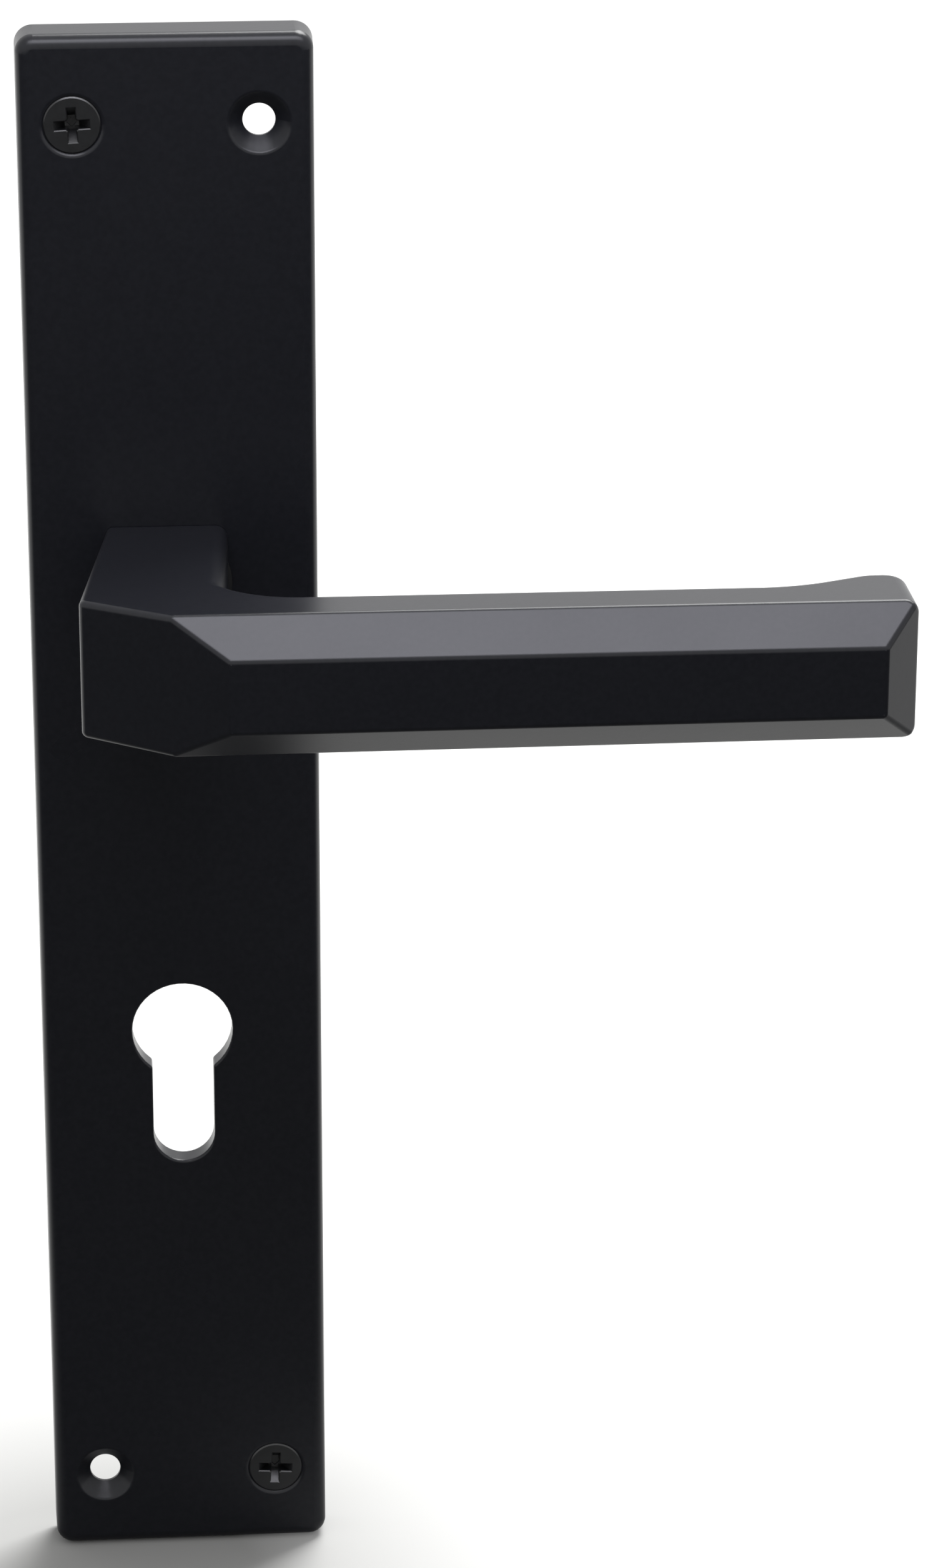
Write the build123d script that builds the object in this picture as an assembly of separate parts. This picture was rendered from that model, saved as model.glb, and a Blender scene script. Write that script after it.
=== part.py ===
from build123d import *
import math
import os

# Door lever handle on a long backplate, in millimetres.
# X runs along the grip, Y runs from the room into the door, and Z is up.
# The origin is the point where the spindle axis meets the door face.
# Depths are counted forward, from the door face towards the room.

# Backplate, an open-backed die casting
PLATE_WIDTH = 50.5
PLATE_HEIGHT = 286.5
PLATE_DEPTH = 8.5
PLATE_CORNER_RADIUS = 3.2
PLATE_EDGE_RADIUS = 2.2
PLATE_DRAFT_ANGLE = 1.5
PLATE_FRONT_WALL = 2.3
PLATE_SIDE_WALL = 2.6
CAVITY_CORNER_RADIUS = 2.0
SPINDLE_TO_TOP_EDGE = 97.2
RIB_THICKNESS = 1.6
RIB_HEIGHT = 3.0
RIBS_PER_BAY = 2

# Hole for the lock cylinder, a circle with a leg below it
LOCK_CENTRES = 85.0
CYLINDER_DIAMETER = 18.0
CYLINDER_LEG_WIDTH = 11.0
CYLINDER_HOLE_HEIGHT = 34.8
CYLINDER_SHOULDER_RADIUS = 0.8
CYLINDER_RIM_WIDTH = 2.5
CYLINDER_RIM_DEPTH = 4.0
CYLINDER_EDGE_RADIUS = 0.5

# Countersunk fixing holes, one in each corner of the plate
FIXING_INSET_FROM_SIDE = 9.45
FIXING_INSET_FROM_TOP = 15.5
FIXING_INSET_FROM_FOOT = 14.9
FIXING_HOLE_DIAMETER = 5.6
FIXING_HOLE_LAND = 0.6
COUNTERSINK_DIAMETER = 10.7
COUNTERSINK_EDGE_RADIUS = 0.8
FIXING_BOSS_DIAMETER = 15.0
FIXING_BOSS_BORE = 11.5

# Fixing screws, countersunk with a cross recess
SCREW_HEAD_DIAMETER = 10.3
SCREW_SHANK_DIAMETER = 3.8
SCREW_SHANK_LENGTH = 3.0
SCREW_THREAD_DIAMETER = 5.0
SCREW_LENGTH = 32.0
SCREW_POINT_LENGTH = 7.0
SCREW_POINT_DIAMETER = 0.6
CROSS_SPAN = 6.2
CROSS_WIDTH = 1.5
CROSS_DEPTH = 2.6
CROSS_FLOOR_SPAN = 2.4

# Bearing of the lever in the plate
SHANK_DIAMETER = 15.0
BEARING_CLEARANCE = 0.05
END_FLOAT = 0.05
BUSH_WALL = 1.5
BUSH_FLANGE_DIAMETER = 20.2
BUSH_FLANGE_THICKNESS = 1.0
BUSH_FLANGE_PROUD = 0.2
BOSS_WALL = 2.0

# Lever, a solid casting with a square neck and a bevelled grip
NECK_WIDTH = 21.0
NECK_HEIGHT = 21.0
NECK_OFFSET = -1.1
NECK_FLARE = 5.2
NECK_LEAN = 2.2
GRIP_HEIGHT = 24.9
GRIP_TAPER_ANGLE = 0.12
GRIP_THICKNESS = 17.1
LEVER_PROJECTION = 67.7
LEVER_REACH = 122.2
BEVEL_DEPTH = 6.6
BEVEL_HEIGHT = 6.1
END_BEVEL_WIDTH = 6.0
FACET_START_DEPTH = 52.0
FACET_END_REACH = 7.6
CROOK_RISE = 7.6
CROOK_RUN = 6.0
CROOK_RADIUS = 15.0
CROOK_CORNER_RADIUS = 1.5
FLARE_RISE = 5.8
FLARE_SLOPE = 24.5
FLARE_HOLLOW_RADIUS = 28.0
FLARE_CREST_RADIUS = 8.0
TIP_LENGTH = 7.0
TIP_CORNER_RADIUS = 4.0
KNUCKLE_RADIUS = 1.5
LEVER_EDGE_RADIUS = 1.1
HAND_EDGE_RADIUS = 2.3

# Square spindle and the grub screw that holds it
SPINDLE_SIZE = 8.0
SPINDLE_CLEARANCE = 0.05
SPINDLE_IN_LEVER = 33.0
SPINDLE_BEHIND_DOOR_FACE = 62.0
SPINDLE_CHAMFER = 1.0
SOCKET_END_GAP = 1.0
GRUB_DIAMETER = 6.0
GRUB_LENGTH = 6.0
GRUB_DEPTH = 22.0
GRUB_THREAD_CLEARANCE = 0.05
GRUB_POINT_CHAMFER = 1.2
GRUB_HEX_SIZE = 3.0
GRUB_HEX_DEPTH = 3.0

# Drive cam, keyed to two flats on the shank
SHANK_FLATS = 12.0
KEY_CLEARANCE = 0.05
CAM_THICKNESS = 1.2
CAM_CLEARANCE = 0.2
CAM_DISC_DIAMETER = 22.0
CAM_NOSE_WIDTH = 6.0
CAM_NOSE_REACH = 17.0
CAM_TAB_WIDTH = 5.0
CAM_TAB_REACH = 16.2
CAM_TAB_CLEARANCE = 0.6
CAM_BEND_RADIUS = 0.8
TURN_ANGLE = 45.0

# Stop posts for the cam nose, and the lug that anchors the spring
STOP_POST_DIAMETER = 3.5
STOP_POST_RADIUS = 15.5
STOP_CLEARANCE = 0.15
LUG_INNER_REACH = 17.0
LUG_OUTER_REACH = 20.5
LUG_DEPTH = 2.4

# Return spring, a torsion coil round the boss with two legs bent up, which lean a little apart
WIRE_DIAMETER = 1.1
WIRE_SIDES = 12
COIL_GAP = 0.05
COIL_CLEARANCE = 0.5
SPRING_END_CLEARANCE = 0.05
LEG_CLEARANCE = 0.05
LEG_BEND_RADIUS = 1.6
LEG_REACH = 21.5

# Cover plate over the spring, and its two screws
COVER_THICKNESS = 1.0
COVER_RECESS = 0.25
COVER_RADIUS = 17.8
COVER_EAR_RADIUS = 4.0
COVER_WALL_GAP = 1.6
COVER_SHANK_CLEARANCE = 0.3
COVER_POST_DIAMETER = 5.5
COVER_SCREW_RISE = 10.0
COVER_SCREW_HEAD = 5.2
COVER_SCREW_NECK = 3.2
COVER_SCREW_DIAMETER = 2.5
COVER_SCREW_LENGTH = 5.0
COVER_PILOT_CLEARANCE = 0.05
COVER_SLOT_WIDTH = 0.9
COVER_SLOT_DEPTH = 0.6

# Washer and retaining ring on the end of the shank
WASHER_DIAMETER = 21.0
WASHER_BORE_CLEARANCE = 0.1
WASHER_THICKNESS = 0.5
RING_THICKNESS = 1.0
RING_WIDTH = 2.2
RING_GAP_ANGLE = 70.0
RING_EYE_RADIUS = 1.4
RING_EYE_HOLE = 0.6
RING_SEAT_CLEARANCE = 0.02
GROOVE_DEPTH = 0.75
SHANK_END_LIP = 1.0

# Places that follow from the sizes above
PLATE_CENTRE = SPINDLE_TO_TOP_EDGE - PLATE_HEIGHT / 2
CAVITY_FLOOR = PLATE_DEPTH - PLATE_FRONT_WALL
WALL_MIDDLE = PLATE_DEPTH - PLATE_FRONT_WALL / 2
CAVITY_WIDTH = PLATE_WIDTH - 2 * PLATE_SIDE_WALL
CAVITY_HEIGHT = PLATE_HEIGHT - 2 * PLATE_SIDE_WALL
FIXING_HALF_ACROSS = PLATE_WIDTH / 2 - FIXING_INSET_FROM_SIDE
FIXING_TOP_ROW = SPINDLE_TO_TOP_EDGE - FIXING_INSET_FROM_TOP
FIXING_FOOT_ROW = SPINDLE_TO_TOP_EDGE - PLATE_HEIGHT + FIXING_INSET_FROM_FOOT
COUNTERSINK_DEPTH = (COUNTERSINK_DIAMETER - FIXING_HOLE_DIAMETER) / 2
FIXING_SEAT = PLATE_DEPTH - COUNTERSINK_DEPTH - FIXING_HOLE_LAND
SHANK_RADIUS = SHANK_DIAMETER / 2
BUSH_RADIUS = SHANK_RADIUS + BEARING_CLEARANCE + BUSH_WALL
BOSS_RADIUS = BUSH_RADIUS + BOSS_WALL
BUSH_SEAT = PLATE_DEPTH + BUSH_FLANGE_PROUD - BUSH_FLANGE_THICKNESS
NECK_SEAT = PLATE_DEPTH + BUSH_FLANGE_PROUD + END_FLOAT
COVER_FRONT = COVER_RECESS + COVER_THICKNESS
CAM_BACK = COVER_FRONT + CAM_CLEARANCE
CAM_FRONT = CAM_BACK + CAM_THICKNESS
BOSS_END = CAM_FRONT + CAM_CLEARANCE
WASHER_FRONT = COVER_RECESS - END_FLOAT
WASHER_BACK = WASHER_FRONT - WASHER_THICKNESS
RING_BACK = WASHER_BACK - RING_THICKNESS
SHANK_END = RING_BACK - END_FLOAT - SHANK_END_LIP
COIL_RADIUS = BOSS_RADIUS + COIL_CLEARANCE + WIRE_DIAMETER / 2
COIL_FRONT = CAVITY_FLOOR - SPRING_END_CLEARANCE - WIRE_DIAMETER / 2
COIL_BACK = CAM_FRONT + SPRING_END_CLEARANCE + WIRE_DIAMETER / 2
LEG_OFFSET = CAM_TAB_WIDTH / 2 + LEG_CLEARANCE + WIRE_DIAMETER / 2
SOCKET_SIZE = SPINDLE_SIZE + 2 * SPINDLE_CLEARANCE
SOCKET_END = SPINDLE_IN_LEVER + SOCKET_END_GAP
GRIP_BACK = LEVER_PROJECTION - GRIP_THICKNESS
BEVEL_START = LEVER_PROJECTION - BEVEL_DEPTH
COVER_SCREW_REACH = CAVITY_WIDTH / 2 - COVER_WALL_GAP - COVER_EAR_RADIUS
COVER_SCREW_PLACES = ((-COVER_SCREW_REACH, COVER_SCREW_RISE), (COVER_SCREW_REACH, -COVER_SCREW_RISE))


def at_depth(forward):
    """Work plane parallel to the door: local x is X, local y is Z, extrusions go forward."""
    return Plane.XZ.offset(forward)


def slab(sketch, back, front):
    """Extrude a sketch drawn in X and Z between two depths."""
    return extrude(at_depth(back) * sketch, front - back)


def rod(radius, back, front, x=0.0, z=0.0):
    """Round bar along the door's normal between two depths."""
    return slab(Pos(x, z) * Circle(radius), back, front)


def polar_place(radius, angle):
    """X and Z of a point round the spindle axis."""
    turn = math.radians(angle)
    return radius * math.cos(turn), radius * math.sin(turn)


def fixing_places():
    """X and Z of the four fixing holes: upper left, upper right, lower left, lower right."""
    places = []
    for z in (FIXING_TOP_ROW, FIXING_FOOT_ROW):
        for side in (-1, 1):
            places.append((side * FIXING_HALF_ACROSS, z))
    return places


def cylinder_hole_outline():
    """Outline of the lock cylinder: a circle, and a round-ended leg below it."""
    radius = CYLINDER_DIAMETER / 2
    leg_radius = CYLINDER_LEG_WIDTH / 2
    leg_length = CYLINDER_HOLE_HEIGHT - radius - leg_radius
    leg = Pos(0, -leg_length / 2) * Rectangle(CYLINDER_LEG_WIDTH, leg_length)
    outline = Circle(radius) + leg + Pos(0, -leg_length) * Circle(leg_radius)
    shoulder_drop = math.sqrt(radius**2 - leg_radius**2)
    for side in (-1, 1):
        shoulder = (side * leg_radius, -shoulder_drop)
        outline = fillet(outline.vertices().sort_by_distance(shoulder)[:1], CYLINDER_SHOULDER_RADIUS)
    return Pos(0, -LOCK_CENTRES) * outline


def plate_shell():
    """Drafted plate with a rounded front edge and an open back."""
    outline = Pos(0, PLATE_CENTRE) * RectangleRounded(PLATE_WIDTH, PLATE_HEIGHT, PLATE_CORNER_RADIUS)
    cavity = Pos(0, PLATE_CENTRE) * RectangleRounded(CAVITY_WIDTH, CAVITY_HEIGHT, CAVITY_CORNER_RADIUS)
    shell = extrude(at_depth(0) * outline, PLATE_DEPTH, taper=PLATE_DRAFT_ANGLE)
    front_edges = shell.faces().sort_by(Axis.Y)[0].edges()
    shell = fillet(front_edges, PLATE_EDGE_RADIUS)
    return shell - extrude(at_depth(0) * cavity, CAVITY_FLOOR, taper=PLATE_DRAFT_ANGLE)


def plate_ribs():
    """Cross ribs that stiffen the front wall in the bays between the mechanism and the holes."""
    cylinder_top = CYLINDER_DIAMETER / 2 + CYLINDER_RIM_WIDTH - LOCK_CENTRES
    cylinder_bottom = cylinder_top - CYLINDER_HOLE_HEIGHT - 2 * CYLINDER_RIM_WIDTH
    upper_fixing = FIXING_TOP_ROW - FIXING_BOSS_DIAMETER / 2
    lower_fixing = FIXING_FOOT_ROW + FIXING_BOSS_DIAMETER / 2
    bays = ((LEG_REACH, upper_fixing), (cylinder_top, -LEG_REACH), (lower_fixing, cylinder_bottom))
    ribs = []
    for low, high in bays:
        spacing = (high - low) / (RIBS_PER_BAY + 1)
        for number in range(RIBS_PER_BAY):
            bar = Rectangle(PLATE_WIDTH - PLATE_SIDE_WALL, RIB_THICKNESS)
            place = Pos(0, low + (number + 1) * spacing)
            ribs.append(slab(place * bar, CAVITY_FLOOR - RIB_HEIGHT, WALL_MIDDLE))
    return ribs


def stop_places():
    """X and Z of the two posts that the cam nose meets at rest and at full turn."""
    reach_across = CAM_NOSE_WIDTH / 2 + STOP_POST_DIAMETER / 2 + STOP_CLEARANCE
    post_angle = math.degrees(math.asin(reach_across / STOP_POST_RADIUS))
    rest = polar_place(STOP_POST_RADIUS, -90 + post_angle)
    full_turn = polar_place(STOP_POST_RADIUS, -90 - TURN_ANGLE - post_angle)
    return rest, full_turn


def plate_inside():
    """Bosses, posts, lug and rims cast on the back of the front wall."""
    cast = plate_ribs()
    cast.append(rod(BOSS_RADIUS, BOSS_END, WALL_MIDDLE))
    rim = offset(cylinder_hole_outline(), CYLINDER_RIM_WIDTH)
    cast.append(slab(rim, PLATE_DEPTH - CYLINDER_RIM_DEPTH, WALL_MIDDLE))
    for x, z in fixing_places():
        cast.append(rod(FIXING_BOSS_DIAMETER / 2, 0, WALL_MIDDLE, x, z))
    for x, z in stop_places():
        cast.append(rod(STOP_POST_DIAMETER / 2, COVER_FRONT, WALL_MIDDLE, x, z))
    for x, z in COVER_SCREW_PLACES:
        cast.append(rod(COVER_POST_DIAMETER / 2, COVER_FRONT, WALL_MIDDLE, x, z))
    lug = Rectangle(CAM_TAB_WIDTH, LUG_OUTER_REACH - LUG_INNER_REACH)
    lug_middle = (LUG_INNER_REACH + LUG_OUTER_REACH) / 2
    cast.append(slab(Pos(0, lug_middle) * lug, LUG_DEPTH, WALL_MIDDLE))
    return cast


def fixing_hole(x, z):
    """Cutter for one fixing hole: back bore, straight land and countersink."""
    hole_radius = FIXING_HOLE_DIAMETER / 2
    countersink = Cone(hole_radius, COUNTERSINK_DIAMETER / 2, COUNTERSINK_DEPTH)
    sink_middle = PLATE_DEPTH - COUNTERSINK_DEPTH / 2
    cutter = at_depth(sink_middle) * Pos(x, z) * countersink
    cutter += rod(hole_radius, 0, PLATE_DEPTH, x, z)
    return cutter + rod(FIXING_BOSS_BORE / 2, 0, FIXING_SEAT, x, z)


def soften_front_holes(plate):
    """Round the front rims of the cylinder hole and of the countersinks."""
    front = plate.faces().sort_by(Axis.Y)[0]
    countersink_edges = []
    cylinder_edges = []
    for edge in front.inner_wires().edges():
        on_spindle = Vector(edge.center().X, 0, edge.center().Z).length < SHANK_DIAMETER
        near_cylinder = abs(edge.center().Z + LOCK_CENTRES) < CYLINDER_HOLE_HEIGHT
        if near_cylinder:
            cylinder_edges.append(edge)
        elif not on_spindle:
            countersink_edges.append(edge)
    plate = fillet(countersink_edges, COUNTERSINK_EDGE_RADIUS)
    return fillet(match_edges(plate, cylinder_edges), CYLINDER_EDGE_RADIUS)


def match_edges(solid, wanted):
    """Find the edges of a changed solid that lie where the wanted edges lay."""
    found = []
    for edge in wanted:
        found.append(solid.edges().sort_by_distance(edge.center())[0])
    return found


def make_backplate():
    plate = plate_shell()
    for piece in plate_inside():
        plate += piece
    plate -= rod(BUSH_RADIUS, 0, PLATE_DEPTH)
    plate -= rod(BUSH_FLANGE_DIAMETER / 2 + BEARING_CLEARANCE, BUSH_SEAT, PLATE_DEPTH)
    plate -= slab(cylinder_hole_outline(), 0, PLATE_DEPTH)
    for x, z in fixing_places():
        plate -= fixing_hole(x, z)
    pilot_radius = COVER_SCREW_DIAMETER / 2 + COVER_PILOT_CLEARANCE
    for x, z in COVER_SCREW_PLACES:
        plate -= rod(pilot_radius, 0, CAVITY_FLOOR, x, z)
    return soften_front_holes(plate)


def make_neck_bush():
    """Flanged nylon bush pressed into the plate from the front."""
    bush = rod(BUSH_RADIUS, BOSS_END, BUSH_SEAT)
    bush += rod(BUSH_FLANGE_DIAMETER / 2, BUSH_SEAT, BUSH_SEAT + BUSH_FLANGE_THICKNESS)
    return bush - rod(SHANK_RADIUS + BEARING_CLEARANCE, BOSS_END, NECK_SEAT)


def lever_plan():
    """Lever seen from above: neck, knuckle facet, grip, and a tip that flares towards the door."""
    neck_left = NECK_OFFSET - NECK_WIDTH / 2
    neck_right = NECK_OFFSET + NECK_WIDTH / 2
    crook_depth = GRIP_BACK - CROOK_RISE
    crest = GRIP_BACK - FLARE_RISE
    flare_run = FLARE_RISE / math.tan(math.radians(FLARE_SLOPE))
    tip_start = LEVER_REACH - TIP_LENGTH
    corners = (
        ((neck_right, NECK_SEAT), 0),
        ((neck_right - NECK_LEAN, crook_depth), CROOK_CORNER_RADIUS),
        ((neck_right - NECK_LEAN + CROOK_RUN, GRIP_BACK), CROOK_RADIUS),
        ((tip_start - flare_run, GRIP_BACK), FLARE_HOLLOW_RADIUS),
        ((tip_start, crest), FLARE_CREST_RADIUS),
        ((LEVER_REACH, crest), TIP_CORNER_RADIUS),
        ((LEVER_REACH, BEVEL_START), 0),
        ((LEVER_REACH - END_BEVEL_WIDTH, LEVER_PROJECTION), 0),
        ((FACET_END_REACH, LEVER_PROJECTION), 0),
        ((neck_left - NECK_FLARE, FACET_START_DEPTH), KNUCKLE_RADIUS),
        ((neck_left, NECK_SEAT), 0),
    )
    points = [(x, -depth) for (x, depth), radius in corners]
    radii = [radius for place, radius in corners]
    return make_face(FilletPolyline(*points, radius=radii, close=True))


def lever_side():
    """Upper limit of the lever seen from its end: the neck grows to the grip, whose front is bevelled."""
    half_grip = GRIP_HEIGHT / 2
    corners = (
        (-NECK_SEAT, -GRIP_HEIGHT),
        (-NECK_SEAT, NECK_HEIGHT / 2),
        (-BEVEL_START, half_grip),
        (-LEVER_PROJECTION, half_grip - BEVEL_HEIGHT),
        (-LEVER_PROJECTION, -GRIP_HEIGHT),
    )
    return Plane.YZ * make_face(Polyline(*corners, close=True))


def lever_form():
    """Outer form of neck and grip, where the plan and two sides that taper to the tip meet."""
    length = LEVER_REACH + NECK_WIDTH
    slope = Vector(length, 0, -length * math.tan(math.radians(GRIP_TAPER_ANGLE)))
    upper = extrude(lever_side().moved(Location(-slope)), 2 * slope.length, dir=slope)
    return extrude(lever_plan(), GRIP_HEIGHT, both=True) & upper & mirror(upper, Plane.XY)


def soften_lever(form):
    """Round the edges that the hand closes on, then the rest apart from the end on the plate.

    The first round runs on from the tip along the back of the grip to the neck.
    """
    tip_edges = form.faces().sort_by(Axis.X)[-1].edges().sort_by(Axis.Z)
    form = fillet([tip_edges[0], tip_edges[-1]], HAND_EDGE_RADIUS)
    edges = form.edges().filter_by(lambda edge: edge.center().Y < -NECK_SEAT - LEVER_EDGE_RADIUS)
    return fillet(edges, LEVER_EDGE_RADIUS)


def shank():
    """Round shank through the plate, with two flats and a ring groove behind the bush."""
    flats = Circle(SHANK_RADIUS) & Rectangle(SHANK_FLATS, 2 * SHANK_DIAMETER)
    stem = rod(SHANK_RADIUS, CAM_FRONT, NECK_SEAT) + slab(flats, SHANK_END, CAM_FRONT)
    groove = Circle(SHANK_DIAMETER) - Circle(SHANK_RADIUS - GROOVE_DEPTH)
    return stem - slab(groove, RING_BACK - END_FLOAT, WASHER_BACK)


def make_lever():
    lever = soften_lever(lever_form()) + shank()
    lever -= slab(Rectangle(SOCKET_SIZE, SOCKET_SIZE), SHANK_END, SOCKET_END)
    grub_hole = Cylinder(GRUB_DIAMETER / 2, NECK_HEIGHT, align=(Align.CENTER, Align.CENTER, Align.MAX))
    return lever - Pos(0, -GRUB_DEPTH, 0) * grub_hole


def make_spindle():
    """Square bar from the lever's socket through the lock."""
    bar = slab(Rectangle(SPINDLE_SIZE, SPINDLE_SIZE), -SPINDLE_BEHIND_DOOR_FACE, SPINDLE_IN_LEVER)
    ends = bar.faces().sort_by(Axis.Y)
    return chamfer(ends[0].edges() + ends[-1].edges(), SPINDLE_CHAMFER)


def make_grub_screw():
    """Hexagon-socket grub screw that bears on the underside of the spindle."""
    radius = GRUB_DIAMETER / 2 - GRUB_THREAD_CLEARANCE
    screw = Cylinder(radius, GRUB_LENGTH, align=(Align.CENTER, Align.CENTER, Align.MAX))
    screw = chamfer(screw.faces().sort_by(Axis.Z)[-1].edges(), GRUB_POINT_CHAMFER)
    hexagon = RegularPolygon(GRUB_HEX_SIZE / 2, 6, major_radius=False)
    screw -= Pos(0, 0, -GRUB_LENGTH) * extrude(hexagon, GRUB_HEX_DEPTH)
    return Pos(0, -GRUB_DEPTH, -SPINDLE_SIZE / 2) * screw


def make_drive_cam():
    """Pressed cam keyed to the shank: a nose for the stops and a bent tab for the spring."""
    nose = Pos(0, -CAM_NOSE_REACH / 2) * Rectangle(CAM_NOSE_WIDTH, CAM_NOSE_REACH)
    arm = Pos(0, CAM_TAB_REACH / 2) * Rectangle(CAM_TAB_WIDTH, CAM_TAB_REACH)
    key = Circle(SHANK_RADIUS + KEY_CLEARANCE)
    key &= Rectangle(SHANK_FLATS + 2 * KEY_CLEARANCE, 2 * SHANK_DIAMETER)
    cam = slab(Circle(CAM_DISC_DIAMETER / 2) + nose + arm - key, CAM_BACK, CAM_FRONT)
    tab_middle = CAM_TAB_REACH - CAM_THICKNESS / 2
    tab = Pos(0, tab_middle) * Rectangle(CAM_TAB_WIDTH, CAM_THICKNESS)
    cam += slab(tab, CAM_BACK, CAVITY_FLOOR - CAM_TAB_CLEARANCE)
    bend = cam.edges().filter_by(Axis.X).sort_by_distance((0, -CAM_BACK, CAM_TAB_REACH))[0]
    return fillet(bend, CAM_BEND_RADIUS)


def spring_leg(start, direction, turn):
    """Bend and straight leg that leave the coil at a point in a given direction."""
    outward = Vector(start.X, 0, start.Z).normalized()
    frame = Plane(origin=start, x_dir=direction, z_dir=direction.cross(outward))
    bend = JernArc((0, 0), (1, 0), LEG_BEND_RADIUS, turn)
    leg_end_height = start.Z + LEG_BEND_RADIUS
    leg = Line(bend @ 1, bend @ 1 + (bend % 1) * (LEG_REACH - leg_end_height))
    return [frame.location * bend, frame.location * leg]


def make_return_spring():
    """Torsion spring that the cam winds up: fixed leg at the front, driven leg at the back.

    The round wire is drawn with many narrow flats.
    """
    room = COIL_FRONT - COIL_BACK
    turns = max(1, math.floor(room / (WIRE_DIAMETER + COIL_GAP)))
    bend_reach = COIL_RADIUS + LEG_BEND_RADIUS
    lead = math.degrees(math.asin((LEG_OFFSET - LEG_BEND_RADIUS) / bend_reach))
    pitch = room / (turns + 2 * lead / 360)
    start_x, start_z = polar_place(1, 90 + lead)
    frame = Plane(origin=(0, -COIL_FRONT, 0), x_dir=(start_x, 0, start_z), z_dir=(0, 1, 0))
    coil = frame.location * Helix(pitch, room, COIL_RADIUS)
    fixed_leg = spring_leg(coil @ 0, -(coil % 0), 90 - lead)
    driven_leg = spring_leg(coil @ 1, coil % 1, 90 - lead)
    path = Wire([*fixed_leg, coil, *driven_leg])
    section = Plane(origin=path @ 0, z_dir=path % 0) * RegularPolygon(WIRE_DIAMETER / 2, WIRE_SIDES)
    return sweep(section, path=path)


def make_spring_cover():
    """Pressed cover screwed to the posts, a little below the back rim of the plate."""
    outline = Circle(COVER_RADIUS)
    for x, z in COVER_SCREW_PLACES:
        outline += Pos(x, z) * Circle(COVER_EAR_RADIUS)
    cover = slab(make_hull(outline.edges()), COVER_RECESS, COVER_FRONT)
    cover -= rod(SHANK_RADIUS + COVER_SHANK_CLEARANCE, COVER_RECESS, COVER_FRONT)
    for x, z in COVER_SCREW_PLACES:
        cover -= cover_screw_head(x, z)
    return cover


def cover_screw_head(x, z):
    """Countersunk head that fills the cover's thickness."""
    head = Cone(COVER_SCREW_HEAD / 2, COVER_SCREW_NECK / 2, COVER_THICKNESS)
    return at_depth(COVER_RECESS + COVER_THICKNESS / 2) * Pos(x, z) * head


def make_cover_screw(x, z):
    """Slotted countersunk screw in a cover post."""
    screw = cover_screw_head(x, z)
    screw += rod(COVER_SCREW_DIAMETER / 2, COVER_FRONT, COVER_RECESS + COVER_SCREW_LENGTH, x, z)
    slot = Pos(x, z) * Rectangle(COVER_SCREW_HEAD, COVER_SLOT_WIDTH)
    return screw - slab(slot, COVER_RECESS, COVER_RECESS + COVER_SLOT_DEPTH)


def make_thrust_washer():
    ring = Circle(WASHER_DIAMETER / 2) - Circle(SHANK_RADIUS + WASHER_BORE_CLEARANCE)
    return slab(ring, WASHER_BACK, WASHER_FRONT)


def make_retaining_ring():
    """Open ring in the shank's groove, with an eye at each end for pliers."""
    inner = SHANK_RADIUS - GROOVE_DEPTH + RING_SEAT_CLEARANCE
    outer = inner + RING_WIDTH
    half_gap = RING_GAP_ANGLE / 2
    left = polar_place(2 * outer, -90 - half_gap)
    right = polar_place(2 * outer, -90 + half_gap)
    ring = Circle(outer) - make_face(Polyline((0, 0), left, right, close=True))
    eyes = []
    for angle in (-90 - half_gap, -90 + half_gap):
        eyes.append(Pos(*polar_place(outer - RING_EYE_RADIUS / 2, angle)))
    for eye in eyes:
        ring += eye * Circle(RING_EYE_RADIUS)
    ring -= Circle(inner)
    for eye in eyes:
        ring -= eye * Circle(RING_EYE_HOLE)
    return slab(ring, RING_BACK, WASHER_BACK)


def make_fixing_screw(x, z):
    """Countersunk wood screw seated in a fixing hole: head, plain shank, threaded part and point."""
    head_radius = SCREW_HEAD_DIAMETER / 2
    shank_radius = SCREW_SHANK_DIAMETER / 2
    thread_radius = SCREW_THREAD_DIAMETER / 2
    head_depth = head_radius - shank_radius
    top = PLATE_DEPTH - (COUNTERSINK_DIAMETER - SCREW_HEAD_DIAMETER) / 2
    shank_start = top - head_depth
    thread_start = shank_start - SCREW_SHANK_LENGTH
    point_start = top - SCREW_LENGTH + SCREW_POINT_LENGTH
    screw = at_depth(top - head_depth / 2) * Pos(x, z) * Cone(shank_radius, head_radius, head_depth)
    screw += rod(shank_radius, thread_start, shank_start, x, z)
    screw += rod(thread_radius, point_start, thread_start, x, z)
    point = Cone(SCREW_POINT_DIAMETER / 2, thread_radius, SCREW_POINT_LENGTH)
    screw += at_depth(point_start - SCREW_POINT_LENGTH / 2) * Pos(x, z) * point
    return screw - at_depth(top) * Pos(x, z) * cross_recess()


def cross_recess():
    """Two crossing slots that narrow towards the floor of the recess."""
    half_top = CROSS_SPAN / 2
    half_floor = CROSS_FLOOR_SPAN / 2
    corners = ((-half_top, 0), (half_top, 0), (half_floor, -CROSS_DEPTH), (-half_floor, -CROSS_DEPTH))
    blade = extrude(Plane.XZ * make_face(Polyline(*corners, close=True)), CROSS_WIDTH / 2, both=True)
    return blade + Rot(0, 0, 90) * blade


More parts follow.
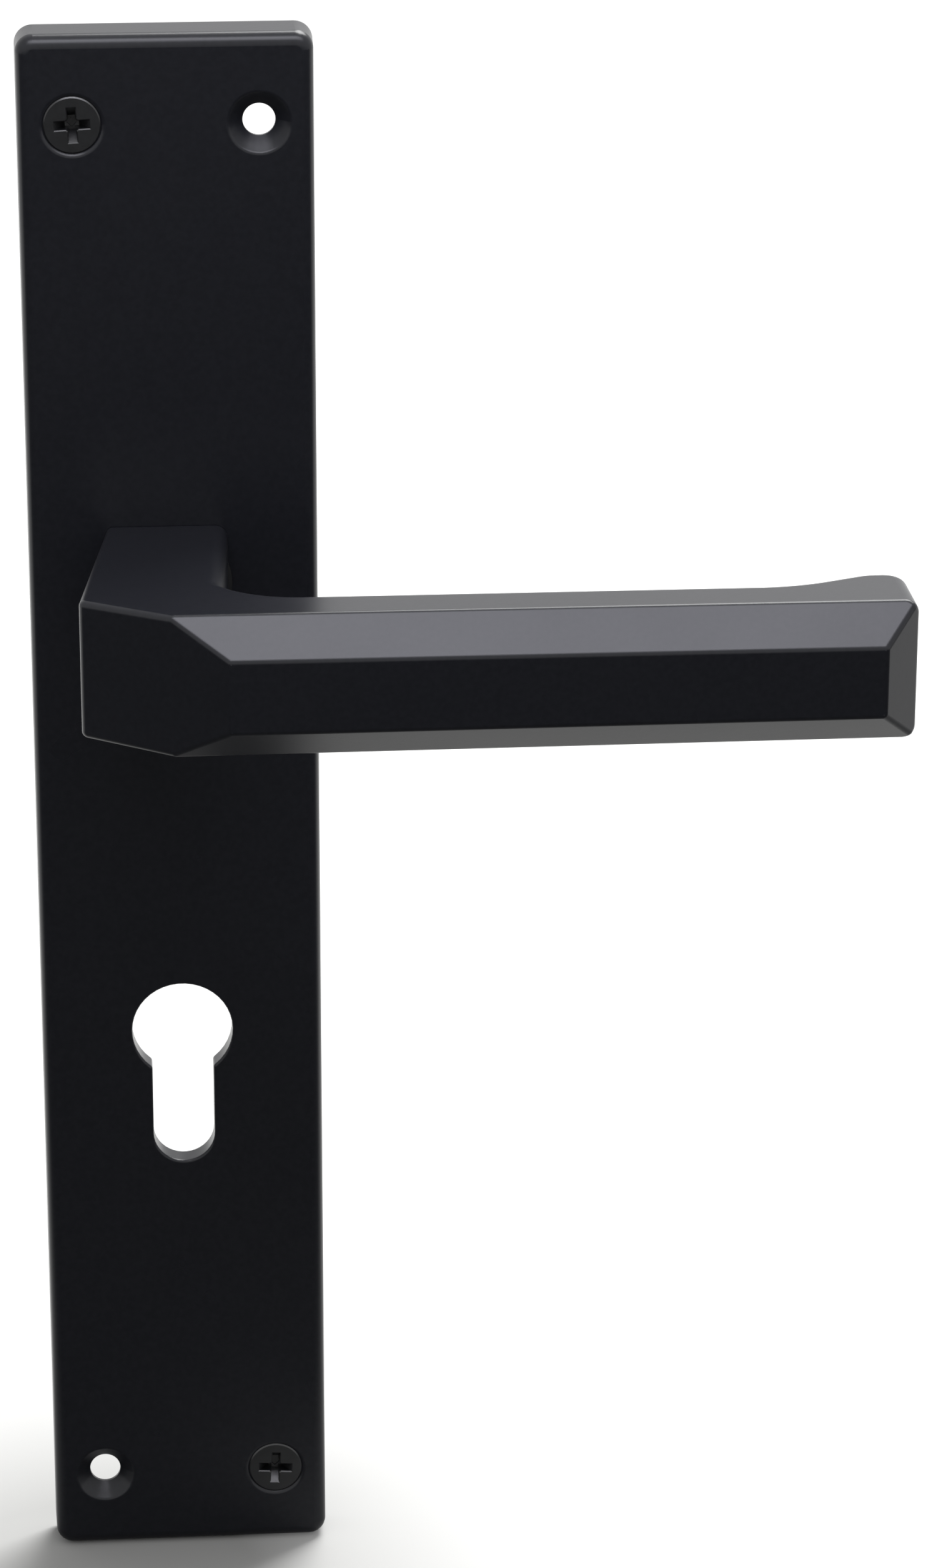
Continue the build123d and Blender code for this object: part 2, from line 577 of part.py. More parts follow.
def all_parts():
    """Every sub-part of the handle, by name."""
    places = fixing_places()
    return {
        "backplate": make_backplate(),
        "neck_bush": make_neck_bush(),
        "lever": make_lever(),
        "spindle": make_spindle(),
        "grub_screw": make_grub_screw(),
        "drive_cam": make_drive_cam(),
        "return_spring": make_return_spring(),
        "spring_cover": make_spring_cover(),
        "cover_screw_left": make_cover_screw(*COVER_SCREW_PLACES[0]),
        "cover_screw_right": make_cover_screw(*COVER_SCREW_PLACES[1]),
        "thrust_washer": make_thrust_washer(),
        "retaining_ring": make_retaining_ring(),
        "fixing_screw_upper": make_fixing_screw(*places[0]),
        "fixing_screw_lower": make_fixing_screw(*places[3]),
    }


os.makedirs("parts", exist_ok=True)
for name, shape in all_parts().items():
    export_step(shape, f"parts/{name}.step")
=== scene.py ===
import math
import bpy
from mathutils import Matrix, Vector


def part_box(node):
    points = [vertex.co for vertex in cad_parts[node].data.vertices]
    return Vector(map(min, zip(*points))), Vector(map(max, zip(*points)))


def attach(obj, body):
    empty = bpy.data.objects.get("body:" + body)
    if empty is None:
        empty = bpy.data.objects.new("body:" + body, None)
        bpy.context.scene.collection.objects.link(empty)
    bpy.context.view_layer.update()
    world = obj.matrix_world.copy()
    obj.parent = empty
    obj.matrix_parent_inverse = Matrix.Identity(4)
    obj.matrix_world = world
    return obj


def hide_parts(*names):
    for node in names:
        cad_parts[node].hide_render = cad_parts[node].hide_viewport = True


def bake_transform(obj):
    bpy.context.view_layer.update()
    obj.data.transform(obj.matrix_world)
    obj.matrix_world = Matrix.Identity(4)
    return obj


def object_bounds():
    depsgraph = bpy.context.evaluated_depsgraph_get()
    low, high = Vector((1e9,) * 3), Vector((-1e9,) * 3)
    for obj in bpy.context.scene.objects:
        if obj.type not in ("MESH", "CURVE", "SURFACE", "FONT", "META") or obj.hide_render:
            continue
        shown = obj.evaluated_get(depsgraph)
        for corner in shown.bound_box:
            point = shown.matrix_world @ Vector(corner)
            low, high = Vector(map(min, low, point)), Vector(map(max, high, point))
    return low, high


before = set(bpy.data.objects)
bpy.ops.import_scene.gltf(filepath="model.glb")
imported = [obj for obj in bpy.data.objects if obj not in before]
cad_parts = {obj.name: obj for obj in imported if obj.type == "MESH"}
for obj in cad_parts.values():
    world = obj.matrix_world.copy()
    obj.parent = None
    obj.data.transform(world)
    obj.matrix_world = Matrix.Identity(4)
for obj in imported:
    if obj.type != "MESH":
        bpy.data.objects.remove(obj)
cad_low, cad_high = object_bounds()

# Backplate. One zinc die casting with an open back, drafted and rounded in its mould and powder
# coated black. It lies on the door by its back rim, and two wood screws hold it there.
MM = 0.001
PATTERN_SPREAD = {"From Min": 0.2, "From Max": 0.8}    # nearly all values of a noise pattern lie here
COLOUR_A, COLOUR_B, COLOUR_OUT = 6, 7, 2    # sockets of a Mix node that mixes colours
COAT_IOR = 1.39
COAT_SHADES = ("#17181D", "#1C1D22")
COAT_ROUGHNESS = (0.27, 0.30)
COAT_CLOUD_MM = 14.0
CLOUD_DETAIL = 3.0
ORANGE_PEEL_MM = 0.9
ORANGE_PEEL_DEPTH_MM = 0.02
ORANGE_PEEL_STRENGTH = 0.2


def to_linear(hex_colour):
    """Linear colour of an sRGB hex value."""
    channels = [int(hex_colour[start:start + 2], 16) / 255 for start in (1, 3, 5)]
    linear = [c / 12.92 if c <= 0.04045 else ((c + 0.055) / 1.055) ** 2.4 for c in channels]
    return (*linear, 1.0)


def add_node(tree, kind, settings=None, links=None):
    """Add one node, set its properties and input values, and link its inputs."""
    node = tree.nodes.new(kind)
    for name, value in (settings or {}).items():
        if isinstance(name, int) or name in node.inputs:
            node.inputs[name].default_value = value
        else:
            setattr(node, name, value)
    for name, source in (links or {}).items():
        tree.links.new(source, node.inputs[name])
    return node


def new_material(name, settings):
    """Material with one Principled shader, its tree and its object coordinates."""
    material = bpy.data.materials.new(name)
    material.use_nodes = True
    tree = material.node_tree
    shader = tree.nodes["Principled BSDF"]
    for socket, value in settings.items():
        shader.inputs[socket].default_value = value
    place = add_node(tree, "ShaderNodeTexCoord").outputs["Object"]
    return material, tree, shader, place


def vary_surface(tree, shader, shade_pattern, shades, sheen_pattern, roughness):
    """Let the colour follow one pattern between two shades, and the roughness another."""
    soft_step = {**PATTERN_SPREAD, "interpolation_type": "SMOOTHSTEP"}
    share = add_node(tree, "ShaderNodeMapRange", soft_step, {"Value": shade_pattern}).outputs["Result"]
    first, second = (to_linear(shade) for shade in shades)
    ends = {"data_type": "RGBA", COLOUR_A: first, COLOUR_B: second}
    colour = add_node(tree, "ShaderNodeMix", ends, {0: share}).outputs[COLOUR_OUT]
    sheen_range = {**PATTERN_SPREAD, "To Min": roughness[0], "To Max": roughness[1]}
    sheen = add_node(tree, "ShaderNodeMapRange", sheen_range, {"Value": sheen_pattern}).outputs["Result"]
    tree.links.new(colour, shader.inputs["Base Color"])
    tree.links.new(sheen, shader.inputs["Roughness"])


def powder_coat_finish():
    """Polyester powder coat, sprayed and baked: satin black with a faint orange peel.

    It gives the eye a soft sheen on the faces that look up, and a nearly black front.
    """
    material, tree, shader, place = new_material("polyester_powder_coat", {"IOR": COAT_IOR})
    coarse = {"Scale": 1 / (COAT_CLOUD_MM * MM), "Detail": CLOUD_DETAIL}
    cloud = add_node(tree, "ShaderNodeTexNoise", coarse, {"Vector": place}).outputs["Fac"]
    fine = {"Scale": 1 / (ORANGE_PEEL_MM * MM)}
    peel = add_node(tree, "ShaderNodeTexNoise", fine, {"Vector": place}).outputs["Fac"]
    vary_surface(tree, shader, peel, COAT_SHADES, cloud, COAT_ROUGHNESS)
    relief = {"Strength": ORANGE_PEEL_STRENGTH, "Distance": ORANGE_PEEL_DEPTH_MM * MM}
    bump = add_node(tree, "ShaderNodeBump", relief, {"Height": peel})
    tree.links.new(bump.outputs["Normal"], shader.inputs["Normal"])
    return material


def finish_node(name, material):
    """Give a CAD node its finish."""
    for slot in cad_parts[name].material_slots:
        slot.material = material


powder_coat = powder_coat_finish()
finish_node("backplate", powder_coat)

# Neck bush. A flanged bush moulded in black nylon and pressed into the plate from the front,
# so that the lever's shank turns on plastic and doesn't rattle.
NYLON_IOR = 1.53
NYLON_SHADES = ("#131415", "#1A1B1C")
NYLON_ROUGHNESS = (0.46, 0.56)
NYLON_CLOUD_MM = 6.0


def nylon_finish():
    """Moulded nylon: dull black, a little waxier than the coat on the metal round it."""
    material, tree, shader, place = new_material("moulded_black_nylon", {"IOR": NYLON_IOR})
    soft = {"Scale": 1 / (NYLON_CLOUD_MM * MM)}
    cloud = add_node(tree, "ShaderNodeTexNoise", soft, {"Vector": place}).outputs["Fac"]
    vary_surface(tree, shader, cloud, NYLON_SHADES, cloud, NYLON_ROUGHNESS)
    return material


finish_node("neck_bush", nylon_finish())

# Lever. One casting, the neck, the cut knuckle, the bevelled grip and the shank, ground and powder
# coated like the plate. Its shank goes through the bush and is held behind by the ring.
finish_node("lever", powder_coat)

# Return spring. Oil-tempered spring wire, cold coiled a little over two turns round the boss of the
# plate. The front leg bears on the plate's lug and the rear leg on the cam's tab, so the coil winds
# up with the lever.
WIRE_DIAMETER_MM = 1.1
WIRE_SIDES = 16
COIL_RADIUS_MM = 12.1
COIL_FRONT_MM = 5.6
COIL_BACK_MM = 3.25
COIL_TURNS = 2
COIL_STEPS = 100
LEG_OFFSET_MM = 3.1
LEG_BEND_RADIUS_MM = 1.6
LEG_BEND_STEPS = 8
LEG_REACH_MM = 21.5
MERGE_DISTANCE_MM = 0.001
WIRE_SMOOTH_ANGLE = 40.0
SPRING_SHADES = ("#4A4745", "#5C5956")
SPRING_ROUGHNESS = (0.28, 0.4)
SPRING_CLOUD_MM = 4.0


def spring_steel_finish():
    """Oil-tempered spring steel: dark brown-grey metal, paler and duller in patches."""
    material, tree, shader, place = new_material("oil_tempered_spring_steel", {"Metallic": 1.0})
    soft = {"Scale": 1 / (SPRING_CLOUD_MM * MM)}
    cloud = add_node(tree, "ShaderNodeTexNoise", soft, {"Vector": place}).outputs["Fac"]
    vary_surface(tree, shader, cloud, SPRING_SHADES, cloud, SPRING_ROUGHNESS)
    return material


def wind_coil(lead):
    """Open coil of round wire about Y, from front to back, clockwise as seen from the front."""
    bpy.ops.object.select_all(action="DESELECT")
    bpy.ops.mesh.primitive_circle_add(
        vertices=WIRE_SIDES, radius=WIRE_DIAMETER_MM / 2 * MM,
        location=(COIL_RADIUS_MM * MM, -COIL_FRONT_MM * MM, 0),
    )
    coil = bpy.context.object
    coil.name = "return_spring_wound"
    bpy.ops.object.transform_apply(location=True, rotation=True, scale=True)
    wind = coil.modifiers.new("wind", "SCREW")
    wind.axis = "Y"
    wind.angle = 2 * (math.pi * COIL_TURNS + lead)
    wind.screw_offset = (COIL_FRONT_MM - COIL_BACK_MM) * MM
    wind.steps = wind.render_steps = COIL_STEPS
    bpy.ops.object.modifier_apply(modifier=wind.name)
    coil.rotation_euler.y = -math.pi / 2 - lead
    bpy.ops.object.transform_apply(location=True, rotation=True, scale=True)
    return coil


def bend_leg(coil, side, depth, lead):
    """Bend one open end of the coil outwards and run it on as a straight leg."""
    bpy.ops.object.mode_set(mode="EDIT")
    bpy.ops.mesh.select_mode(type="VERT")
    bpy.ops.mesh.select_all(action="DESELECT")
    bpy.ops.mesh.select_non_manifold()
    bpy.ops.object.mode_set(mode="OBJECT")
    for vertex in coil.data.vertices:
        vertex.select = vertex.select and vertex.co.x * side > 0
    for edge in coil.data.edges:
        edge.select = all(coil.data.vertices[index].select for index in edge.vertices)
    bpy.ops.object.mode_set(mode="EDIT")
    bend_reach = COIL_RADIUS_MM + LEG_BEND_RADIUS_MM
    middle = Vector((side * bend_reach * math.sin(lead), -depth, bend_reach * math.cos(lead))) * MM
    turn = math.pi / 2 - lead
    bpy.ops.mesh.spin(steps=LEG_BEND_STEPS, angle=side * turn, center=middle, axis=(0, 1, 0))
    length = LEG_REACH_MM - COIL_RADIUS_MM * math.cos(lead) - LEG_BEND_RADIUS_MM
    along = Vector((side * math.sin(2 * lead), 0, math.cos(2 * lead))) * length * MM
    bpy.ops.mesh.extrude_region_move(TRANSFORM_OT_translate={"value": along})
    bpy.ops.mesh.edge_face_add()
    bpy.ops.object.mode_set(mode="OBJECT")


def make_return_spring():
    """Coil and two legs as one wire."""
    lead = math.asin((LEG_OFFSET_MM - LEG_BEND_RADIUS_MM) / (COIL_RADIUS_MM + LEG_BEND_RADIUS_MM))
    spring = wind_coil(lead)
    bend_leg(spring, -1, COIL_FRONT_MM, lead)
    bend_leg(spring, 1, COIL_BACK_MM, lead)
    bpy.ops.object.mode_set(mode="EDIT")
    bpy.ops.mesh.select_all(action="SELECT")
    bpy.ops.mesh.remove_doubles(threshold=MERGE_DISTANCE_MM * MM)
    bpy.ops.mesh.normals_make_consistent(inside=False)
    bpy.ops.object.mode_set(mode="OBJECT")
    bpy.ops.object.shade_smooth_by_angle(angle=math.radians(WIRE_SMOOTH_ANGLE))
    return spring


spring_steel = spring_steel_finish()
return_spring = make_return_spring()
return_spring.data.materials.append(spring_steel)
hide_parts("return_spring")
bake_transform(return_spring)

# Drive cam. A disc with a nose and a bent tab, pressed from steel sheet and bright zinc plated. It is
# keyed to the flats of the shank, carries the spring's rear leg round and meets the plate's stop posts.
BRIGHT_ZINC_SHADES = ("#B3B8BE", "#C8C9C6")
BRIGHT_ZINC_ROUGHNESS = (0.26, 0.4)
ZINC_CLOUD_MM = 9.0
ZINC_LINE_MM = 0.5    # coarser than real draw lines, so that they show
ZINC_LINE_DEPTH_MM = 0.02
ZINC_LINE_STRENGTH = 0.06
ZINC_LINE_STRETCH = (1.0, 0.06, 1.0)


def zinc_finish(name, shades, roughness):
    """Zinc plate on drawn or rolled steel: grey metal with fine lines and a faint blue cast."""
    material, tree, shader, place = new_material(name, {"Metallic": 1.0})
    coarse = {"Scale": 1 / (ZINC_CLOUD_MM * MM), "Detail": CLOUD_DETAIL}
    cloud = add_node(tree, "ShaderNodeTexNoise", coarse, {"Vector": place}).outputs["Fac"]
    along = add_node(tree, "ShaderNodeMapping", {"Scale": ZINC_LINE_STRETCH}, {"Vector": place})
    fine = {"Scale": 1 / (ZINC_LINE_MM * MM)}
    lines = add_node(tree, "ShaderNodeTexNoise", fine, {"Vector": along.outputs["Vector"]}).outputs["Fac"]
    vary_surface(tree, shader, cloud, shades, lines, roughness)
    relief = {"Strength": ZINC_LINE_STRENGTH, "Distance": ZINC_LINE_DEPTH_MM * MM}
    bump = add_node(tree, "ShaderNodeBump", relief, {"Height": lines})
    tree.links.new(bump.outputs["Normal"], shader.inputs["Normal"])
    return material


bright_zinc = zinc_finish("bright_zinc_plate", BRIGHT_ZINC_SHADES, BRIGHT_ZINC_ROUGHNESS)
finish_node("drive_cam", bright_zinc)

# Spring cover. A steel pressing with two ears, bright zinc plated. It closes the spring in behind the
# plate and lies on two cast posts.
finish_node("spring_cover", bright_zinc)

# Cover screws. Two small slotted screws of steel, zinc plated in bulk and so duller than the cover.
# They hold the cover's ears on its posts.
DULL_ZINC_SHADES = ("#7F8388", "#92938F")
DULL_ZINC_ROUGHNESS = (0.36, 0.48)

dull_zinc = zinc_finish("dull_zinc_plate", DULL_ZINC_SHADES, DULL_ZINC_ROUGHNESS)
finish_node("cover_screw_left", dull_zinc)
finish_node("cover_screw_right", dull_zinc)

# Thrust washer. A thin steel washer, stamped and zinc plated in bulk like the cover's screws.
# It turns with the shank between the cover and the retaining ring.
finish_node("thrust_washer", dull_zinc)

# Retaining ring. An external ring stamped from spring steel, sprung open with pliers and let into the
# groove behind the thrust washer, where it keeps the lever in the plate.
finish_node("retaining_ring", spring_steel)

# Spindle. A square bar of drawn steel, cut off, chamfered and bright zinc plated. It goes into the
# lever from behind and turns the follower of the lock.
finish_node("spindle", bright_zinc)

# Grub screw. A hexagon-socket set screw of blackened steel, turned into the underside of the neck
# until its point bears on the spindle.
BLACK_STEEL_IOR = 1.65
BLACK_STEEL_SHADES = ("#0D0E10", "#151618")
BLACK_STEEL_ROUGHNESS = (0.28, 0.36)
BLACK_STEEL_CLOUD_MM = 2.5
BLACK_STEEL_GRAIN_MM = 0.3


def black_steel_finish():
    """Steel with a black zinc coat: dark satin whose edges shine more than the powder coat's."""
    material, tree, shader, place = new_material("black_zinc_steel", {"IOR": BLACK_STEEL_IOR})
    coarse = {"Scale": 1 / (BLACK_STEEL_CLOUD_MM * MM)}
    cloud = add_node(tree, "ShaderNodeTexNoise", coarse, {"Vector": place}).outputs["Fac"]
    fine = {"Scale": 1 / (BLACK_STEEL_GRAIN_MM * MM)}
    grain = add_node(tree, "ShaderNodeTexNoise", fine, {"Vector": place}).outputs["Fac"]
    vary_surface(tree, shader, cloud, BLACK_STEEL_SHADES, grain, BLACK_STEEL_ROUGHNESS)
    return material


black_steel = black_steel_finish()
finish_node("grub_screw", black_steel)

# Fixing screws. Countersunk wood screws of blackened steel, one in the upper left hole and one in the
# lower right. The head is upset, the cross recess is punched and the thread is rolled. Each was driven
# until its recess stopped a few degrees off upright.
SCREW_SIDES = 48
SCREW_HEAD = ((9.36, 0.0), (9.86, -0.17), (9.86, -0.22), (3.8, -3.25))    # diameter and height in mm
SCREW_CORE = ((3.8, -6.0), (3.5, -6.4), (3.5, -25.0), (0.6, -32.0))
SCREW_SMOOTH_ANGLE = 16.0
THREAD_LIMIT = ((3.4, -6.3), (5.2, -7.7), (5.2, -25.0), (0.7, -31.9))
THREAD_LIMIT_TURN = 2.3    # keeps its edges off the thread's, where the two would leave slivers
THREAD_DIAMETER_MM = 5.0
THREAD_START_MM = -31.2
THREAD_PITCH_MM = 2.2
THREAD_TURNS = 11
THREAD_STEPS = 32
RIDGE_RADIUS_MM = 0.6
RIDGE_SIDES = 3
PUNCH_BLADE = ((2.4, 1.2, -2.6), (5.95, 1.48, -0.17), (8.29, 3.82, 1.0))    # length, width, height in mm
PUNCH_MIDDLE = ((1.13, 1.13, -2.8), (2.52, 2.52, -0.17), (4.86, 4.86, 1.0))
PUNCHES = ((PUNCH_BLADE, 0), (PUNCH_BLADE, 90), (PUNCH_MIDDLE, 45))    # each with its turn in degrees
SCREW_TURNS = {"fixing_screw_upper": 3.0, "fixing_screw_lower": -3.5}    # degrees off upright


def stacked_solid(name, sections, sides):
    """Solid along Z, extruded from section to section by their sizes in X and Y and their heights.

    Its first outline is one millimetre across, so a size in millimetres is also its scale.
    """
    bpy.ops.object.select_all(action="DESELECT")
    if sides == 4:
        bpy.ops.mesh.primitive_plane_add(size=MM)
    else:
        bpy.ops.mesh.primitive_circle_add(vertices=sides, radius=MM / 2, fill_type="NGON")
    solid = bpy.context.object
    solid.name = name
    bpy.ops.object.mode_set(mode="EDIT")
    bpy.ops.mesh.select_all(action="SELECT")
    size_x, size_y, height = sections[0]
    bpy.ops.transform.translate(value=(0, 0, height * MM))
    bpy.ops.transform.resize(value=(size_x, size_y, 1))
    for next_x, next_y, next_height in sections[1:]:
        rise = (next_height - height) * MM
        bpy.ops.mesh.extrude_region_move(TRANSFORM_OT_translate={"value": (0, 0, rise)})
        bpy.ops.transform.resize(value=(next_x / size_x, next_y / size_y, 1))
        size_x, size_y, height = next_x, next_y, next_height
    bpy.ops.mesh.select_all(action="SELECT")
    bpy.ops.mesh.normals_make_consistent(inside=False)
    bpy.ops.object.mode_set(mode="OBJECT")
    return solid


def turned_solid(name, rings):
    """Round solid along Z, each ring with its diameter and height."""
    sections = [(diameter, diameter, height) for diameter, height in rings]
    return stacked_solid(name, sections, SCREW_SIDES)


def punch(sections, turn):
    """Four-sided punch, flared at its top so that it leaves a bright lip round the recess."""
    tool = stacked_solid("punch", sections, sides=4)
    tool.rotation_euler.z = math.radians(turn)
    return tool


def combine(solid, tool, operation):
    """Cut a solid by a tool, or keep what both share, and drop the tool."""
    change = solid.modifiers.new("cut", "BOOLEAN")
    change.operation = operation
    change.object = tool
    bpy.ops.object.select_all(action="DESELECT")
    bpy.context.view_layer.objects.active = solid
    bpy.ops.object.modifier_apply(modifier=change.name)
    tool.select_set(True)
    bpy.ops.object.delete()


def screw_thread():
    """Sharp ridge wound round the core, trimmed where it runs out and at the point."""
    bpy.ops.object.select_all(action="DESELECT")
    quarter = math.radians(90)
    bpy.ops.mesh.primitive_circle_add(
        vertices=RIDGE_SIDES, radius=RIDGE_RADIUS_MM * MM, rotation=(0, -quarter, -quarter)
    )
    thread = bpy.context.object
    bpy.ops.object.transform_apply(location=True, rotation=True, scale=True)
    bpy.ops.object.mode_set(mode="EDIT")
    ridge_middle = (THREAD_DIAMETER_MM / 2 - RIDGE_RADIUS_MM) * MM
    bpy.ops.transform.translate(value=(ridge_middle, 0, THREAD_START_MM * MM))
    bpy.ops.object.mode_set(mode="OBJECT")
    wind = thread.modifiers.new("wind", "SCREW")
    wind.iterations = THREAD_TURNS
    wind.screw_offset = THREAD_PITCH_MM * MM
    wind.steps = wind.render_steps = THREAD_STEPS
    wind.use_normal_calculate = True
    bpy.ops.object.modifier_apply(modifier=wind.name)
    bpy.ops.object.mode_set(mode="EDIT")
    bpy.ops.mesh.select_all(action="SELECT")
    bpy.ops.mesh.fill_holes(sides=RIDGE_SIDES)
    bpy.ops.mesh.select_all(action="SELECT")
    bpy.ops.mesh.normals_make_consistent(inside=False)
    bpy.ops.object.mode_set(mode="OBJECT")
    limit = turned_solid("thread_limit", THREAD_LIMIT)
    limit.rotation_euler.z = math.radians(THREAD_LIMIT_TURN)
    combine(thread, limit, "INTERSECT")
    return thread


def model_fixing_screw():
    """One screw along Z, with the face of its head at the origin."""
    screw = turned_solid("fixing_screw", SCREW_HEAD + SCREW_CORE)
    for sections, turn in PUNCHES:
        combine(screw, punch(sections, turn), "DIFFERENCE")
    thread = screw_thread()
    bpy.ops.object.select_all(action="DESELECT")
    thread.select_set(True)
    screw.select_set(True)
    bpy.context.view_layer.objects.active = screw
    bpy.ops.object.join()
    bpy.ops.object.shade_smooth_by_angle(angle=math.radians(SCREW_SMOOTH_ANGLE))
    return screw


def seat_fixing_screw(model, node, turn):
    """Copy of the screw in the place of its CAD node, head flush in the countersink."""
    bpy.ops.object.select_all(action="DESELECT")
    model.select_set(True)
    bpy.context.view_layer.objects.active = model
    bpy.ops.object.duplicate()
    screw = bpy.context.object
    screw.name = f"{node}_dressed"
    low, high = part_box(node)
    head_place = Vector(((low.x + high.x) / 2, low.y, (low.z + high.z) / 2))
    facing_front = Matrix.Rotation(math.radians(90), 4, "X")
    driven = Matrix.Rotation(math.radians(turn), 4, "Z")
    screw.matrix_world = Matrix.Translation(head_place) @ facing_front @ driven
    bpy.ops.object.transform_apply(location=True, rotation=True, scale=True)
    screw.data.materials.append(black_steel)
    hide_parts(node)
    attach(screw, "plate")


screw_model = model_fixing_screw()
for screw_node, screw_turn in SCREW_TURNS.items():
    seat_fixing_screw(screw_model, screw_node, screw_turn)
bpy.ops.object.select_all(action="DESELECT")
screw_model.select_set(True)
bpy.ops.object.delete()

# Studio. A pale floor that the plate stands on by its foot, a soft box behind and above it, and a strip
# light over the grip. The white room is only seen, straight or mirrored, and an even fill lights the
# object in its place. Places and sizes are in metres.
FLOOR_SIZE = 6.0
FLOOR_COLOUR = "#DADAD8"
# Mirrors see the floor in front in this dark grey: a painted dark reflection where no dark thing lies.
REFLECTED_SHADE_COLOUR = "#5A5A5A"
SHADOW_PLACE = (-0.018, -0.022, 0.0)
# The floor glows by distance from the shadow's place; the painted dark reflection fades from front to
# back
# Round the shadow's place the floor glows less: painted shade that deepens the real shadow there.
NEAR_GLOW = {"From Min": 0.03, "From Max": 0.085, "To Min": 0.0, "To Max": 0.36}
FAR_GLOW = {"From Min": 0.15, "From Max": 0.9, "To Min": 0.0, "To Max": 0.5}
REFLECTED_SHADE_EDGE = {"From Min": -0.07, "From Max": 0.045, "To Min": 1.0, "To Max": 0.0}
WHITE = "#FFFFFF"
WORLD_FILL = 0.5
KEY_SOFT_BOX = {
    "place": (0.34, 0.60, 0.78), "aim": (0.0, 0.20, -0.19), "size": (0.6, 0.6),
    "radiance": 3.2, "spread": 90, "colour": WHITE,
}
STRIP_LIGHT = {
    "place": (0.05, -0.15, 0.30), "aim": (0.05, -0.064, 0.0), "size": (0.34, 0.13),
    "radiance": 2.15, "spread": 100, "colour": "#F4F4FF",
}


def ray_kinds(tree):
    """Two switches: rays straight from the camera, and rays that mirrors or glass send on."""
    path = add_node(tree, "ShaderNodeLightPath").outputs
    mirrors = {0: path["Is Glossy Ray"], 1: path["Is Transmission Ray"]}
    mirrored = add_node(tree, "ShaderNodeMath", {"operation": "MAXIMUM"}, mirrors).outputs["Value"]
    return path["Is Camera Ray"], mirrored


def floor_finish():
    """Matt pale card, white to the eye away from the object's shadow, with painted shade round it.

    Mirrored in the object it is white behind, and dark in front as a painted dark reflection.
    """
    matt = {"Roughness": 0.9, "Specular IOR Level": 0.0, "Emission Color": to_linear(WHITE)}
    material, tree, shader, place = new_material("matt_pale_card", matt)
    from_shadow = {"operation": "DISTANCE", 1: SHADOW_PLACE}
    distance = add_node(tree, "ShaderNodeVectorMath", from_shadow, {0: place}).outputs["Value"]
    # The near glow stays off round the shadow's place, so that painted shade joins the real shadow.
    near = add_node(tree, "ShaderNodeMapRange", NEAR_GLOW, {"Value": distance}).outputs["Result"]
    far = add_node(tree, "ShaderNodeMapRange", FAR_GLOW, {"Value": distance}).outputs["Result"]
    white = add_node(tree, "ShaderNodeMath", {"operation": "ADD"}, {0: near, 1: far}).outputs["Value"]
    depth = add_node(tree, "ShaderNodeSeparateXYZ", None, {"Vector": place}).outputs["Y"]
    front = add_node(tree, "ShaderNodeMapRange", REFLECTED_SHADE_EDGE, {"Value": depth}).outputs["Result"]
    direct, mirrored = ray_kinds(tree)
    times = {"operation": "MULTIPLY"}
    minus = {"operation": "SUBTRACT"}
    larger = {"operation": "MAXIMUM"}
    # Painted dark reflection: to mirror rays the floor in front turns dark grey and stops glowing.
    painted_dark_reflection = add_node(tree, "ShaderNodeMath", times, {0: mirrored, 1: front}).outputs["Value"]
    seen = add_node(tree, "ShaderNodeMath", larger, {0: direct, 1: mirrored}).outputs["Value"]
    glow_seen = add_node(tree, "ShaderNodeMath", minus, {0: seen, 1: painted_dark_reflection}).outputs["Value"]
    glow = add_node(tree, "ShaderNodeMath", times, {0: glow_seen, 1: white}).outputs["Value"]
    tree.links.new(glow, shader.inputs["Emission Strength"])
    # The dark grey end is the painted dark reflection, shown only to mirror rays in front.
    ends = {"data_type": "RGBA", COLOUR_A: to_linear(FLOOR_COLOUR), COLOUR_B: to_linear(REFLECTED_SHADE_COLOUR)}
    card = add_node(tree, "ShaderNodeMix", ends, {0: painted_dark_reflection}).outputs[COLOUR_OUT]
    tree.links.new(card, shader.inputs["Base Color"])
    return material


def soft_box(name, place, aim, size, radiance, spread, colour):
    """Gridded soft box that is aimed at a point, with the brightness of its face."""
    bpy.ops.object.light_add(type="AREA", location=place)
    light = bpy.context.object
    light.name = name
    light.data.shape = "RECTANGLE"
    light.data.size, light.data.size_y = size
    light.data.energy = radiance * math.pi * size[0] * size[1]
    light.data.spread = math.radians(spread)
    light.data.color = to_linear(colour)[:3]
    light.rotation_euler = (Vector(aim) - Vector(place)).to_track_quat("-Z", "Y").to_euler()
    return light


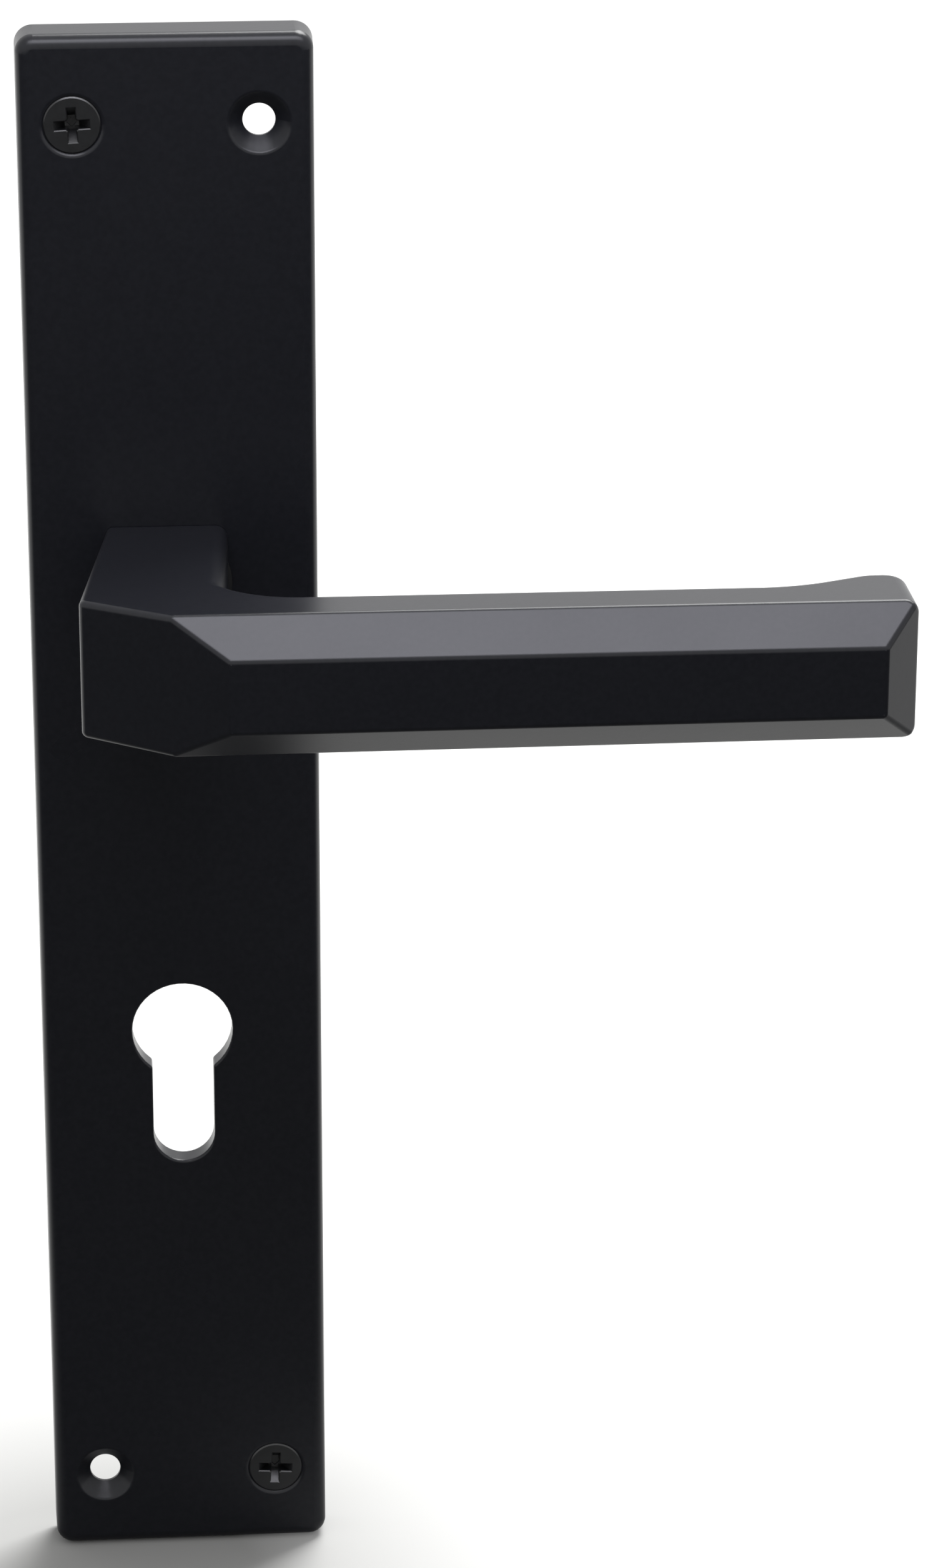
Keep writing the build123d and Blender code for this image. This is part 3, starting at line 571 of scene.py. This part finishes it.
def light_room():
    """Even fill for the object, and white for the camera and for what mirrors show."""
    world = bpy.data.worlds.new("white_room")
    bpy.context.scene.world = world
    world.use_nodes = True
    tree = world.node_tree
    tree.nodes.clear()
    fill = add_node(tree, "ShaderNodeBackground", {"Strength": WORLD_FILL}).outputs["Background"]
    white = add_node(tree, "ShaderNodeBackground", {"Color": to_linear(WHITE)}).outputs["Background"]
    direct, mirrored = ray_kinds(tree)
    rays = {0: direct, 1: mirrored}
    seen = add_node(tree, "ShaderNodeMath", {"operation": "MAXIMUM"}, rays).outputs["Value"]
    room = add_node(tree, "ShaderNodeMixShader", None, {0: seen, 1: fill, 2: white}).outputs["Shader"]
    add_node(tree, "ShaderNodeOutputWorld", None, {"Surface": room})


bpy.ops.object.select_all(action="DESELECT")
bpy.ops.mesh.primitive_plane_add(size=FLOOR_SIZE, location=(0, 0, cad_low.z))
floor = bpy.context.object
floor.name = "floor"
floor.data.materials.append(floor_finish())

soft_box("key_soft_box", **KEY_SOFT_BOX)
strip_light = soft_box("strip_light", **STRIP_LIGHT)
kept_dark = bpy.data.collections.new("flagged_from_the_strip_light")
kept_dark.objects.link(floor)
strip_light.light_linking.receiver_collection = kept_dark
kept_dark.collection_objects[0].light_linking.link_state = "EXCLUDE"
light_room()

# Camera. The photo's viewpoint: in front of the handle, above it and looking down on the lever.
# The long side of the sensor lies along the height of the frame. Angles are in degrees.
CAMERA_PLACE_MM = (-17.5, -879.2, 298.3)
CAMERA_YAW = 4.471
CAMERA_PITCH = 21.109
CAMERA_ROLL = 0.138
CAMERA_LENS_MM = 121.15
CAMERA_CLIP_START = 0.01

camera_data = bpy.data.cameras.new("photo_camera")
camera_data.lens = CAMERA_LENS_MM
camera_data.clip_start = CAMERA_CLIP_START
camera = bpy.data.objects.new("photo_camera", camera_data)
bpy.context.scene.collection.objects.link(camera)
yaw = Matrix.Rotation(math.radians(-CAMERA_YAW), 4, "Z")
pitch = Matrix.Rotation(math.radians(90 - CAMERA_PITCH), 4, "X")
roll = Matrix.Rotation(math.radians(CAMERA_ROLL), 4, "Z")
camera.matrix_world = Matrix.Translation(Vector(CAMERA_PLACE_MM) * MM) @ yaw @ pitch @ roll
bpy.context.scene.camera = camera
bpy.context.scene.view_settings.view_transform = "Standard"
